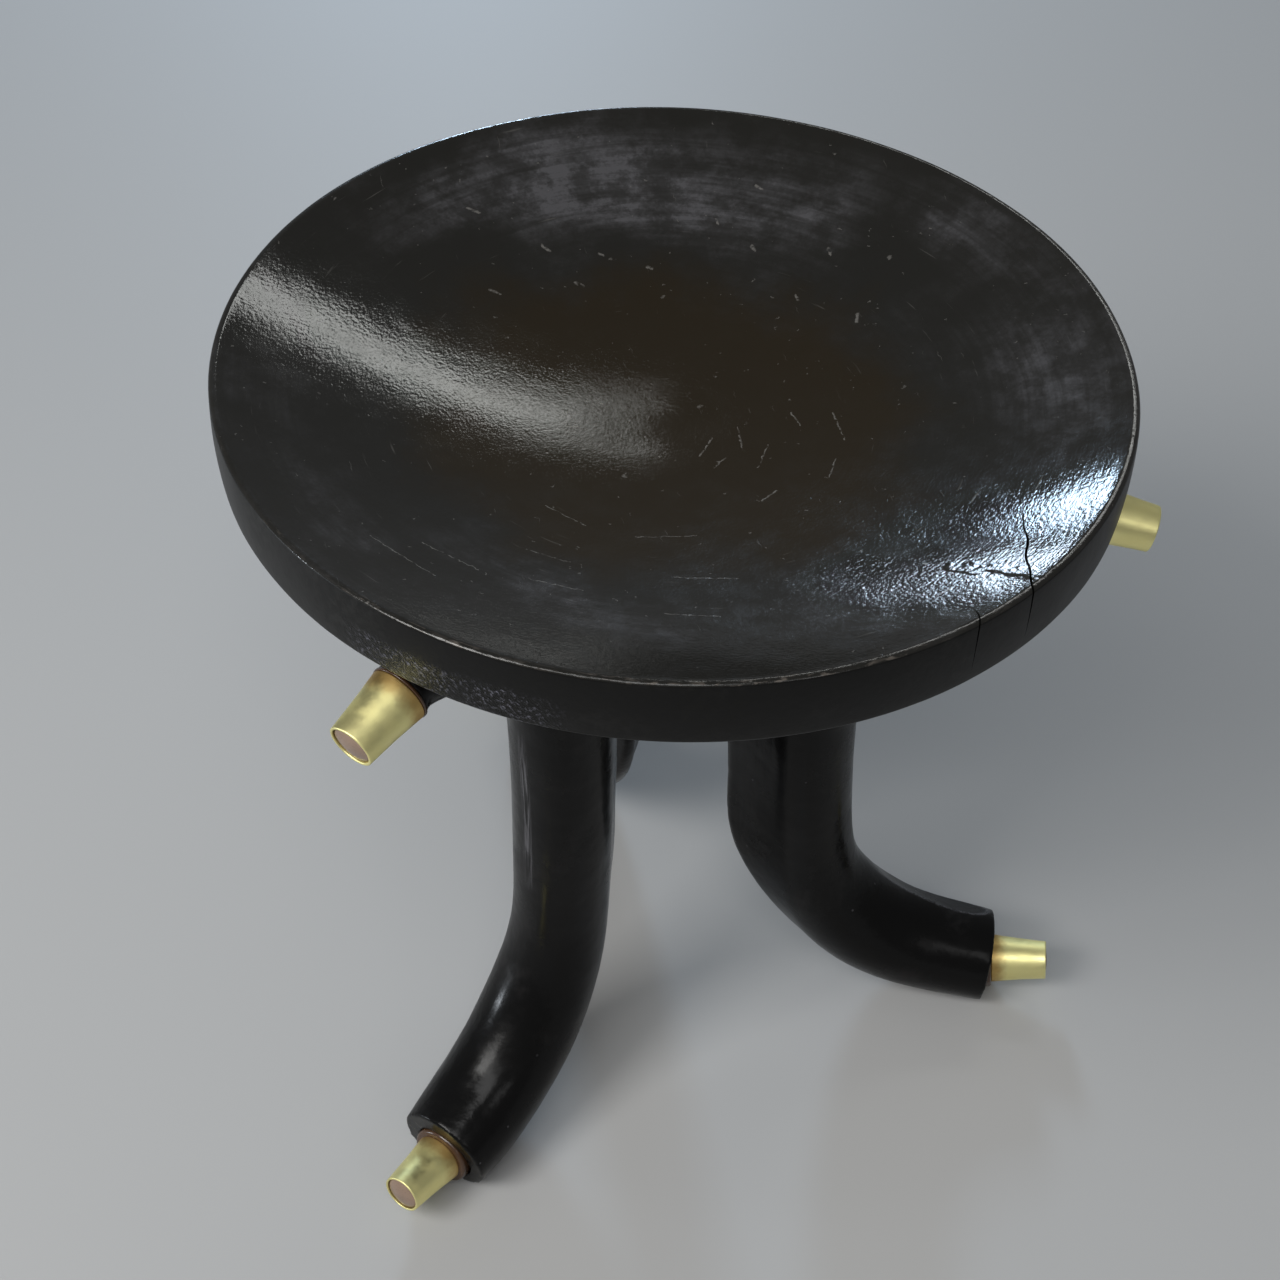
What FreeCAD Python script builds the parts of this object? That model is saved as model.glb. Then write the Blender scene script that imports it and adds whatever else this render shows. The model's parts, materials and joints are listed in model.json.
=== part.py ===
import FreeCAD, Part
import math
import os
from collections import namedtuple

# A carved three-legged stool: a round dished seat on three legs, each bowed inwards like a letter C.
# The lower end of a leg is a foot on the floor, the upper end a spur under the seat. Every one of these
# six ends holds a turned wooden peg, and each peg wears a tapered brass ferrule with open ends.
# Millimetres, Z up. The floor is z = 0, the seat turns about the Z axis, and the right leg lies along +X.

V = FreeCAD.Vector
ORIGIN = V(0, 0, 0)
UP = V(0, 0, 1)

# Seat
SEAT_DIAMETER = 380.0       # widest, half way up the outer band
SEAT_HEIGHT = 407.0         # floor to the top of the lip
BAND_HEIGHT = 30.0          # upright outside of the seat
BAND_BULGE = 0.8            # how far the band swells beyond its two edges
BAND_ROUND = 2.0            # rounding of the band's lower edge
LIP_WIDTH = 3.6             # flat top of the lip
LIP_ROUND = 1.1             # rounding of the lip's two edges
DISH_DEPTH = 42.0           # lip to the middle of the dish
SEAT_WALL = 25.0            # wood under the middle of the dish

# Legs. Each was carved by eye, so each has its own bow.
RIGHT_TURN = 0.0            # degrees round the seat
RIGHT_SPUR_SKEW = -2.7      # degrees the spur is turned round the seat from the foot
RIGHT_FOOT_RUN = 32.0       # straight run of the foot
RIGHT_LOWER_BEND = 86.0     # radius of the limb's axis above the foot
RIGHT_WAIST_BEND = 900.0    # radius of the axis at the slender waist
RIGHT_UPPER_BEND = 55.0     # radius of the axis under the seat
BACK_TURN = 120.0
BACK_SPUR_SKEW = 0.0
BACK_FOOT_RUN = 20.0
BACK_LOWER_BEND = 96.0
BACK_WAIST_BEND = 1000.0
BACK_UPPER_BEND = 55.0
LEFT_TURN = 242.3
LEFT_SPUR_SKEW = -0.6
LEFT_FOOT_RUN = 12.0
LEFT_LOWER_BEND = 104.0
LEFT_WAIST_BEND = 1500.0
LEFT_UPPER_BEND = 48.0

# What the three legs share
FOOT_INSET = 9.7            # foot's end face, inside the seat's widest circle
FOOT_RADIUS = 24.5
FOOT_SLOPE = 10.0           # degrees the foot still falls at its end
FOOT_FACE_LEAN = 4.5        # degrees the end face looks down
FOOT_FLAT = 1.8             # worn flat that stands on the floor
BEND_RADIUS = 26.5          # half thickness of the limb in the lower bend
WAIST_RADIUS = 23.5
KEEL_RISE = 15.5            # wedge towards the stool's middle, beyond the round limb
KEEL_ROUND = 5.0            # radius of the wedge's edge
KEEL_TRACE = 0.8            # what is left of the wedge on the round stretches
SPUR_BELOW_RIM = 56.0       # spur's end face centre, under the top of the lip
SPUR_INSET = 13.6           # spur's end face, inside the seat's widest circle
SPUR_DROP = 10.0            # degrees the spur falls outwards
SPUR_RUN = 38.0             # straight stretch of the spur, which narrows
SPUR_ROOT_RADIUS = 24.5
SPUR_END_RADIUS = 13.0
SPUR_HOLLOW = 1.2           # how far the spur's side is hollowed between root and end

# Joint of leg and seat: a round stub tenon in a blind mortise
TENON_DIAMETER = 30.0
TENON_CENTRE = 92.0         # from the stool's axis
TENON_COVER = 8.0           # wood left between the mortise and the dish
END_GAP = 1.0               # room beyond the ends of tenons and shanks
GLUE_GAP = 0.1              # around tenons, shanks and cones

# Pegs and ferrules
FERRULE_BASE = 25.4         # one inch, the usual slip ferrule
FERRULE_TIP = 20.0
FERRULE_LENGTH = 28.6
FERRULE_WALL = 1.2
FERRULE_ROUND = 0.5
PEG_SHANK = 16.0            # diameter in the leg
PEG_SHANK_LENGTH = 32.0
PEG_RECESS = 1.4            # edge of the peg's end, inside the ferrule's tip
PEG_CROWN = 1.1             # height of the peg's domed end
FOOT_COLLAR = 31.0          # diameter of the rounded shoulder at a foot
FOOT_COLLAR_ROUND = 1.8
FOOT_COLLAR_PROUD = 0.5     # least height of that shoulder over the sloping end face
FOOT_COLLAR_SUNK = 1.0      # least depth of that shoulder in the end face
FOOT_PEG_LIFT = 8.0         # degrees the foot's peg points above the horizon
FOOT_PEG_DROP = 2.6         # peg's axis below the centre of the end face
SPUR_COLLAR = 26.0
SPUR_COLLAR_HEIGHT = 1.2
SPUR_COLLAR_ROUND = 0.4

seat_radius = SEAT_DIAMETER / 2
band_edge_radius = seat_radius - BAND_BULGE
band_bottom = SEAT_HEIGHT - BAND_HEIGHT
dish_radius = band_edge_radius - LIP_WIDTH
dish_floor = SEAT_HEIGHT - DISH_DEPTH
seat_bottom = dish_floor - SEAT_WALL
foot_reach = seat_radius - FOOT_INSET
spur_reach = seat_radius - SPUR_INSET

Leg = namedtuple("Leg", "name turn spur_skew foot_run lower_bend waist_bend upper_bend")
LEGS = (
    Leg(
        "right", RIGHT_TURN, RIGHT_SPUR_SKEW,
        RIGHT_FOOT_RUN, RIGHT_LOWER_BEND, RIGHT_WAIST_BEND, RIGHT_UPPER_BEND,
    ),
    Leg(
        "back", BACK_TURN, BACK_SPUR_SKEW,
        BACK_FOOT_RUN, BACK_LOWER_BEND, BACK_WAIST_BEND, BACK_UPPER_BEND,
    ),
    Leg(
        "left", LEFT_TURN, LEFT_SPUR_SKEW,
        LEFT_FOOT_RUN, LEFT_LOWER_BEND, LEFT_WAIST_BEND, LEFT_UPPER_BEND,
    ),
)


def in_plane(r, z):
    """A point of the right leg's upright middle plane."""
    return V(r, 0, z)


def cap_height(radius, edge_radius, rise):
    """Height over its lowest point, at a radius, of a shallow round cap."""
    ball = (edge_radius ** 2 + rise ** 2) / (2 * rise)
    return ball - math.sqrt(ball ** 2 - radius ** 2)


def underside(radius):
    """Height of the seat's rounded underside at a radius."""
    return seat_bottom + cap_height(radius, band_edge_radius, band_bottom - seat_bottom)


def dish(radius):
    """Height of the dish at a radius."""
    return dish_floor + cap_height(radius, dish_radius, DISH_DEPTH)


def arc(start, middle, end):
    """An arc through three points."""
    return Part.Arc(start, middle, end).toShape()


def line(start, end):
    """A straight edge."""
    return Part.LineSegment(start, end).toShape()


def revolve(edges):
    """A solid of revolution about Z from the edges of a half section."""
    return Part.Face(Part.Wire(edges)).revolve(ORIGIN, UP, 360)


def underside_arc():
    """The underside from its middle to the foot of the band."""
    half = band_edge_radius / 2
    return arc(
        in_plane(0, seat_bottom),
        in_plane(half, underside(half)),
        in_plane(band_edge_radius, band_bottom),
    )


def round_rim(solid):
    """Soften the two edges of the lip and the lower edge of the band."""
    lip = []
    foot = []
    for edge in solid.Edges:
        box = edge.BoundBox
        if box.ZLength > 0.01 or box.XLength < dish_radius:
            continue
        if abs(box.ZMax - SEAT_HEIGHT) < 0.01:
            lip.append(edge)
        elif abs(box.ZMax - band_bottom) < 0.01:
            foot.append(edge)
    return solid.makeFillet(LIP_ROUND, lip).makeFillet(BAND_ROUND, foot)


def make_seat():
    """The dished seat, with a blind mortise over each leg."""
    half = dish_radius / 2
    profile = [
        underside_arc(),
        arc(
            in_plane(band_edge_radius, band_bottom),
            in_plane(seat_radius, SEAT_HEIGHT - BAND_HEIGHT / 2),
            in_plane(band_edge_radius, SEAT_HEIGHT),
        ),
        line(in_plane(band_edge_radius, SEAT_HEIGHT), in_plane(dish_radius, SEAT_HEIGHT)),
        arc(in_plane(dish_radius, SEAT_HEIGHT), in_plane(half, dish(half)), in_plane(0, dish_floor)),
        line(in_plane(0, dish_floor), in_plane(0, seat_bottom)),
    ]
    seat = round_rim(revolve(profile))
    mortise_radius = TENON_DIAMETER / 2 + GLUE_GAP
    mortise_top = tenon_top() + END_GAP
    mortise = Part.makeCylinder(mortise_radius, mortise_top, in_plane(TENON_CENTRE, 0))
    return seat.cut([turned(mortise, leg.turn + leg.spur_skew) for leg in LEGS])


def tenon_top():
    """Top of a tenon, which keeps its cover of wood under the dish at its inner edge."""
    inner_edge = TENON_CENTRE - TENON_DIAMETER / 2
    return dish(inner_edge) - TENON_COVER - END_GAP


def over_seat():
    """Everything above the seat's underside, to shape the tops of the legs."""
    outside = 2 * seat_radius
    above = 2 * SEAT_HEIGHT
    profile = [
        underside_arc(),
        line(in_plane(band_edge_radius, band_bottom), in_plane(outside, band_bottom)),
        line(in_plane(outside, band_bottom), in_plane(outside, above)),
        line(in_plane(outside, above), in_plane(0, above)),
        line(in_plane(0, above), in_plane(0, seat_bottom)),
    ]
    return revolve(profile)


def towards(slope):
    """Unit direction along the limb's axis, from the foot on, at a slope in degrees."""
    angle = math.radians(slope)
    return in_plane(-math.cos(angle), math.sin(angle))


def outwards(slope):
    """Unit direction square to the axis, on the hollow side of the bow."""
    angle = math.radians(slope)
    return in_plane(math.sin(angle), math.cos(angle))


def slope_at(centre, point):
    """Slope of the axis at a point of an arc with this centre."""
    return math.degrees(math.atan2(centre.x - point.x, centre.z - point.z))


class Limb:
    """The axis of a leg: foot run, lower bend, waist, upper bend and spur run, each tangent to the next."""

    def __init__(self, leg):
        self.leg = leg
        face_lean = math.radians(FOOT_FACE_LEAN)
        self.spur_slope = 180 + SPUR_DROP
        self.foot_end = in_plane(foot_reach, FOOT_RADIUS * math.cos(face_lean) - FOOT_FLAT)
        self.spur_end = in_plane(spur_reach, SEAT_HEIGHT - SPUR_BELOW_RIM)
        self.foot_bend = self.foot_end + towards(FOOT_SLOPE) * leg.foot_run
        self.spur_bend = self.spur_end - towards(self.spur_slope) * SPUR_RUN
        self.lower = self.foot_bend + outwards(FOOT_SLOPE) * leg.lower_bend
        self.upper = self.spur_bend + outwards(self.spur_slope) * leg.upper_bend
        self.waist = self.waist_centre()
        self.low_slope = slope_at(self.waist, self.lower)
        self.high_slope = slope_at(self.waist, self.upper)

    def waist_centre(self):
        """Centre of the waist's arc, which touches both bends from outside their curve."""
        gap = self.upper - self.lower
        to_lower = self.leg.waist_bend - self.leg.lower_bend
        to_upper = self.leg.waist_bend - self.leg.upper_bend
        along = (to_lower ** 2 - to_upper ** 2 + gap.Length ** 2) / (2 * gap.Length)
        aside = math.sqrt(to_lower ** 2 - along ** 2)
        unit = gap / gap.Length
        return self.lower + unit * along + in_plane(unit.z, -unit.x) * aside

    def skew_at(self, point):
        """Degrees by which the limb is turned round the seat at the height of a point."""
        share = (point.z - self.foot_end.z) / (self.spur_end.z - self.foot_end.z)
        return self.leg.spur_skew * min(1, share)

    def foot_stations(self):
        """Cross sections of the foot and the lower bend: point, slope, radius, rise of the keel."""
        middle = (FOOT_SLOPE + self.low_slope) / 2
        half_way = (self.foot_end + self.foot_bend) / 2
        half_lean = (FOOT_FACE_LEAN + FOOT_SLOPE) / 2
        bend_start = (FOOT_RADIUS + BEND_RADIUS) / 2
        rows = [
            (self.foot_end, FOOT_FACE_LEAN, FOOT_RADIUS, KEEL_TRACE),
            (half_way, half_lean, (FOOT_RADIUS + bend_start) / 2, KEEL_TRACE),
            (self.foot_bend, FOOT_SLOPE, bend_start, KEEL_TRACE),
        ]
        for slope, radius, keel in (
            ((FOOT_SLOPE + middle) / 2, BEND_RADIUS, KEEL_TRACE),
            (middle, BEND_RADIUS, 2 * KEEL_TRACE),
            ((middle + self.low_slope) / 2, (BEND_RADIUS + WAIST_RADIUS) / 2, KEEL_RISE / 2),
        ):
            rows.append((self.lower - outwards(slope) * self.leg.lower_bend, slope, radius, keel))
        return rows

    def waist_stations(self):
        """Cross sections of the waist, with its full keel."""
        steps = 4
        rows = []
        for step in range(steps + 1):
            slope = self.low_slope + (self.high_slope - self.low_slope) * step / steps
            rows.append((self.waist - outwards(slope) * self.leg.waist_bend, slope, WAIST_RADIUS, KEEL_RISE))
        return rows

    def spur_stations(self):
        """Cross sections of the upper bend and the spur, where the keel dies out."""
        middle = (self.high_slope + self.spur_slope) / 2
        rows = []
        for slope, radius, keel in (
            ((self.high_slope + middle) / 2, WAIST_RADIUS, KEEL_RISE / 2),
            (middle, (WAIST_RADIUS + SPUR_ROOT_RADIUS) / 2, 2 * KEEL_TRACE),
            ((middle + self.spur_slope) / 2, SPUR_ROOT_RADIUS, KEEL_TRACE),
        ):
            rows.append((self.upper - outwards(slope) * self.leg.upper_bend, slope, radius, keel))
        half_way = (self.spur_bend + self.spur_end) / 2
        half_radius = (SPUR_ROOT_RADIUS + SPUR_END_RADIUS) / 2 - SPUR_HOLLOW
        rows.append((self.spur_bend, self.spur_slope, SPUR_ROOT_RADIUS, KEEL_TRACE))
        rows.append((half_way, self.spur_slope, half_radius, KEEL_TRACE))
        rows.append((self.spur_end, self.spur_slope, SPUR_END_RADIUS, KEEL_TRACE))
        return rows

    def bow(self):
        """The whole limb as one smooth solid."""
        sections = []
        for row in self.foot_stations() + self.waist_stations() + self.spur_stations():
            sections.append(turned(limb_section(*row), self.skew_at(row[0])))
        return Part.makeLoft(sections, True, False)


def limb_section(centre, slope, radius, keel):
    """Cross section of a limb: a round back drawn into a wedge on the side of the keel."""
    inward = outwards(slope) * -1
    side = V(0, 1, 0)
    edge_radius = radius - (radius - KEEL_ROUND) * math.sqrt(keel / KEEL_RISE)
    reach = radius + keel - edge_radius
    tangent = math.acos((radius - edge_radius) / reach)
    edge_centre = centre + inward * reach

    def around(middle, size, angle):
        return middle + (inward * math.cos(angle) + side * math.sin(angle)) * size

    back = math.pi
    quarter = (tangent + back) / 2
    return Part.Wire([
        arc(around(centre, radius, tangent), around(centre, radius, quarter), around(centre, radius, back)),
        arc(around(centre, radius, back), around(centre, radius, -quarter), around(centre, radius, -tangent)),
        line(around(centre, radius, -tangent), around(edge_centre, edge_radius, -tangent)),
        arc(
            around(edge_centre, edge_radius, -tangent),
            around(edge_centre, edge_radius, 0),
            around(edge_centre, edge_radius, tangent),
        ),
        line(around(edge_centre, edge_radius, tangent), around(centre, radius, tangent)),
    ])


class Socket:
    """Where a peg stands in the end of a leg: the seat of its collar, its axis and its collar."""

    def __init__(self, base, axis, collar, height, rounding):
        self.base = base
        self.axis = axis
        self.collar = collar
        self.height = height
        self.rounding = rounding

    def drill(self):
        """What is cut from the leg: the counterbore of the collar and the hole of the shank."""
        depth = PEG_SHANK_LENGTH + END_GAP
        hole = Part.makeCylinder(PEG_SHANK / 2 + GLUE_GAP, depth, self.base - self.axis * depth, self.axis)
        sink = Part.makeCylinder(self.collar / 2 + GLUE_GAP, 2 * FOOT_RADIUS, self.base, self.axis)
        return hole.fuse(sink)

    def top(self):
        """Centre of the collar's outer face, where the ferrule sits."""
        return self.base + self.axis * self.height


def turn_on(profile, base, axis):
    """Revolve a half section of (radius, height) edges and stand it on a base along an axis."""
    solid = revolve(profile)
    solid.Placement = FreeCAD.Placement(base, FreeCAD.Rotation(UP, axis))
    return solid


def make_peg(socket):
    """A turned peg: shank, collar with a rounded edge, cone for the ferrule, domed end."""
    shank = PEG_SHANK / 2
    collar = socket.collar / 2
    ease = socket.rounding
    soft = ease * (1 - math.sqrt(0.5))
    top = socket.height
    taper = (FERRULE_BASE - FERRULE_TIP) / 2 / FERRULE_LENGTH
    inside = FERRULE_BASE / 2 - FERRULE_WALL - GLUE_GAP
    cone_end = top + FERRULE_LENGTH - PEG_RECESS
    end_radius = inside - taper * (FERRULE_LENGTH - PEG_RECESS)
    half = end_radius / 2
    crown = cone_end + PEG_CROWN
    crown_half = crown - cap_height(half, end_radius, PEG_CROWN)
    profile = [
        line(in_plane(0, -PEG_SHANK_LENGTH), in_plane(shank, -PEG_SHANK_LENGTH)),
        line(in_plane(shank, -PEG_SHANK_LENGTH), in_plane(shank, 0)),
        line(in_plane(shank, 0), in_plane(collar, 0)),
        line(in_plane(collar, 0), in_plane(collar, top - ease)),
        arc(in_plane(collar, top - ease), in_plane(collar - soft, top - soft), in_plane(collar - ease, top)),
        line(in_plane(collar - ease, top), in_plane(inside, top)),
        line(in_plane(inside, top), in_plane(end_radius, cone_end)),
        arc(in_plane(end_radius, cone_end), in_plane(half, crown_half), in_plane(0, crown)),
        line(in_plane(0, crown), in_plane(0, -PEG_SHANK_LENGTH)),
    ]
    return turn_on(profile, socket.base, socket.axis)


def make_ferrule(socket):
    """A tapered brass tube with open ends and rounded outer edges."""
    base = FERRULE_BASE / 2
    tip = FERRULE_TIP / 2
    profile = [
        line(in_plane(base - FERRULE_WALL, 0), in_plane(base, 0)),
        line(in_plane(base, 0), in_plane(tip, FERRULE_LENGTH)),
        line(in_plane(tip, FERRULE_LENGTH), in_plane(tip - FERRULE_WALL, FERRULE_LENGTH)),
        line(in_plane(tip - FERRULE_WALL, FERRULE_LENGTH), in_plane(base - FERRULE_WALL, 0)),
    ]
    tube = revolve(profile)
    outer = [edge for edge in tube.Edges if is_ring(edge, base) or is_ring(edge, tip)]
    tube = tube.makeFillet(FERRULE_ROUND, outer)
    tube.Placement = FreeCAD.Placement(socket.top(), FreeCAD.Rotation(UP, socket.axis))
    return tube


def is_ring(edge, radius):
    """Whether an edge is a circle of this radius."""
    return isinstance(edge.Curve, Part.Circle) and abs(edge.Curve.Radius - radius) < 0.01


def foot_socket(limb):
    """Socket in the leaning end face of the foot, with the peg a little above the horizon."""
    lift = math.radians(FOOT_PEG_LIFT)
    axis = in_plane(math.cos(lift), math.sin(lift))
    middle = limb.foot_end - outwards(FOOT_FACE_LEAN) * FOOT_PEG_DROP
    lean = math.tan(math.radians(FOOT_FACE_LEAN + FOOT_PEG_LIFT)) * FOOT_COLLAR / 2
    base = middle - axis * (lean + FOOT_COLLAR_SUNK)
    height = 2 * lean + FOOT_COLLAR_SUNK + FOOT_COLLAR_PROUD
    return Socket(base, axis, FOOT_COLLAR, height, FOOT_COLLAR_ROUND)


def spur_socket(limb):
    """Socket in the end face of the spur, square to it."""
    axis = towards(limb.spur_slope)
    return Socket(limb.spur_end, axis, SPUR_COLLAR, SPUR_COLLAR_HEIGHT, SPUR_COLLAR_ROUND)


def make_leg(limb, foot, spur):
    """One leg: the limb shaped to the seat, with its tenon, the flat of its foot and its two sockets."""
    tenon_foot = underside(TENON_CENTRE) - WAIST_RADIUS
    tenon = Part.makeCylinder(
        TENON_DIAMETER / 2, tenon_top() - tenon_foot, in_plane(TENON_CENTRE, tenon_foot)
    )
    floor_block = Part.makeBox(
        2 * foot_reach, 4 * FOOT_RADIUS, FOOT_RADIUS, V(0, -2 * FOOT_RADIUS, -FOOT_RADIUS)
    )
    skew = limb.leg.spur_skew
    shaped = limb.bow().cut(over_seat()).fuse(turned(tenon, skew))
    return shaped.cut([floor_block, foot.drill(), turned(spur.drill(), skew)])


def turned(shape, degrees):
    """A copy of a shape, turned round the seat's axis."""
    copy = shape.copy()
    copy.rotate(ORIGIN, UP, degrees)
    return copy


def single(shape):
    """The one solid that a shape holds."""
    if len(shape.Solids) != 1:
        raise ValueError("expected one solid, got %d" % len(shape.Solids))
    return shape.Solids[0]


def leg_pieces(leg):
    """The pieces of one leg, where they stand."""
    limb = Limb(leg)
    foot = foot_socket(limb)
    spur = spur_socket(limb)
    spur_turn = leg.turn + leg.spur_skew
    return {
        "leg": turned(make_leg(limb, foot, spur), leg.turn),
        "foot_peg": turned(make_peg(foot), leg.turn),
        "foot_ferrule": turned(make_ferrule(foot), leg.turn),
        "spur_peg": turned(make_peg(spur), spur_turn),
        "spur_ferrule": turned(make_ferrule(spur), spur_turn),
    }


def main():
    """Build every piece and write one file for each."""
    os.makedirs("parts", exist_ok=True)
    single(make_seat()).exportStep("parts/seat.step")
    for leg in LEGS:
        for kind, shape in leg_pieces(leg).items():
            single(shape).exportStep("parts/%s_%s.step" % (kind, leg.name))


main()
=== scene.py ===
"""Looks of a carved three-legged stool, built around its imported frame.

The frame's solids give every place and size. This script puts worn, carved and polished pieces in their
stead: a seat turned and cut by hand, three shaved legs, and six wooden pegs in brass ferrules.
Lengths are in metres, Z is up, and the floor is z = 0.
"""

from __future__ import annotations

import functools
import json
import logging
import math
import random
from dataclasses import dataclass
from enum import Enum
from typing import Callable, Iterable, Sequence, Union

import bmesh
import bpy
import numpy as np
from mathutils import Matrix, Vector

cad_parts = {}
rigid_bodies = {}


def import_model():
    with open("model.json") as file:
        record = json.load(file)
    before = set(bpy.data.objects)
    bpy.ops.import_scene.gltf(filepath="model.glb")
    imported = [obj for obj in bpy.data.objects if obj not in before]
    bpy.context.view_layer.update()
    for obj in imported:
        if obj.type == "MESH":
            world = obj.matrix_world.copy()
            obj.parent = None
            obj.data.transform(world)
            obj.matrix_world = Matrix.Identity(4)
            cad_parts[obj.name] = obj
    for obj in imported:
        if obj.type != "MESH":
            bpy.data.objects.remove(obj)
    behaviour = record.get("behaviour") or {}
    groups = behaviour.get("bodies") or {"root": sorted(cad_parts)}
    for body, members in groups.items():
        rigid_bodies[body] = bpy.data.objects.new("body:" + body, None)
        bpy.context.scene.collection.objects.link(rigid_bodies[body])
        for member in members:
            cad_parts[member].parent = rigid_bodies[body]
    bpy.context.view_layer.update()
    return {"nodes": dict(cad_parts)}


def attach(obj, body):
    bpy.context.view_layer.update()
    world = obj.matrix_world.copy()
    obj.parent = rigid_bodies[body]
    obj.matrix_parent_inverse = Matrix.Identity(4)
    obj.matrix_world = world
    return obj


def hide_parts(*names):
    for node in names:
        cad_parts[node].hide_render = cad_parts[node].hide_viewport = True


LOG = logging.getLogger("stool")
MM = 0.001
ROOT = "root"

# Points nearer to each other than this are one, along a rolled seam and in a copied solid.
SEAM_GAP = 2e-6
DOUBLE_GAP = 1e-6

Colour = tuple[float, float, float]
Operand = Union["Value", float]


def mm(*numbers: float) -> tuple[float, ...]:
    """Lengths in millimetres as metres."""
    return tuple(number * MM for number in numbers)


def direction(turn: float, lift: float) -> Vector:
    """A unit vector, from its angles in degrees round the stool and above the horizon."""
    around, up = math.radians(turn), math.radians(lift)
    return Vector((math.cos(up) * math.cos(around), math.cos(up) * math.sin(around), math.sin(up)))


class Value:
    """A number that a node gives. Sums and products of values add the nodes that work them out."""

    def __init__(self, graph: "Graph", socket: bpy.types.NodeSocket) -> None:
        """Keep the graph and the socket."""
        self.graph = graph
        self.socket = socket

    def __add__(self, other: Operand) -> "Value":
        """Sum."""
        return self.graph.math("ADD", self, other)

    def __radd__(self, other: Operand) -> "Value":
        """Sum with a number on the left."""
        return self.graph.math("ADD", other, self)

    def __sub__(self, other: Operand) -> "Value":
        """Difference."""
        return self.graph.math("SUBTRACT", self, other)

    def __rsub__(self, other: Operand) -> "Value":
        """Difference with a number on the left."""
        return self.graph.math("SUBTRACT", other, self)

    def __mul__(self, other: Operand) -> "Value":
        """Product."""
        return self.graph.math("MULTIPLY", self, other)

    def __rmul__(self, other: Operand) -> "Value":
        """Product with a number on the left."""
        return self.graph.math("MULTIPLY", other, self)

    def __truediv__(self, other: Operand) -> "Value":
        """Quotient."""
        return self.graph.math("DIVIDE", self, other)

    def __rtruediv__(self, other: Operand) -> "Value":
        """Quotient with a number on top."""
        return self.graph.math("DIVIDE", other, self)

    def root(self) -> "Value":
        """Square root."""
        return self.graph.math("SQRT", self)

    def sine(self) -> "Value":
        """Sine of an angle in radians."""
        return self.graph.math("SINE", self)

    def cosine(self) -> "Value":
        """Cosine of an angle in radians."""
        return self.graph.math("COSINE", self)

    def at_least(self, other: Operand) -> "Value":
        """The larger of two numbers."""
        return self.graph.math("MAXIMUM", self, other)

    def at_most(self, other: Operand) -> "Value":
        """The smaller of two numbers."""
        return self.graph.math("MINIMUM", self, other)

    def ramp(self, start: float, end: float) -> "Value":
        """A smooth step.

        Args:
            start: Number at which the step is 0.
            end: Number at which it is 1. It may be below start, and the step then falls.

        Returns:
            A number from 0 to 1.
        """
        node = self.graph.node(
            "ShaderNodeMapRange",
            {"interpolation_type": "SMOOTHSTEP"},
            {"Value": self, "From Min": start, "From Max": end},
        )
        return Value(self.graph, node.outputs["Result"])


Link = Union[Value, bpy.types.NodeSocket]


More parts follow.
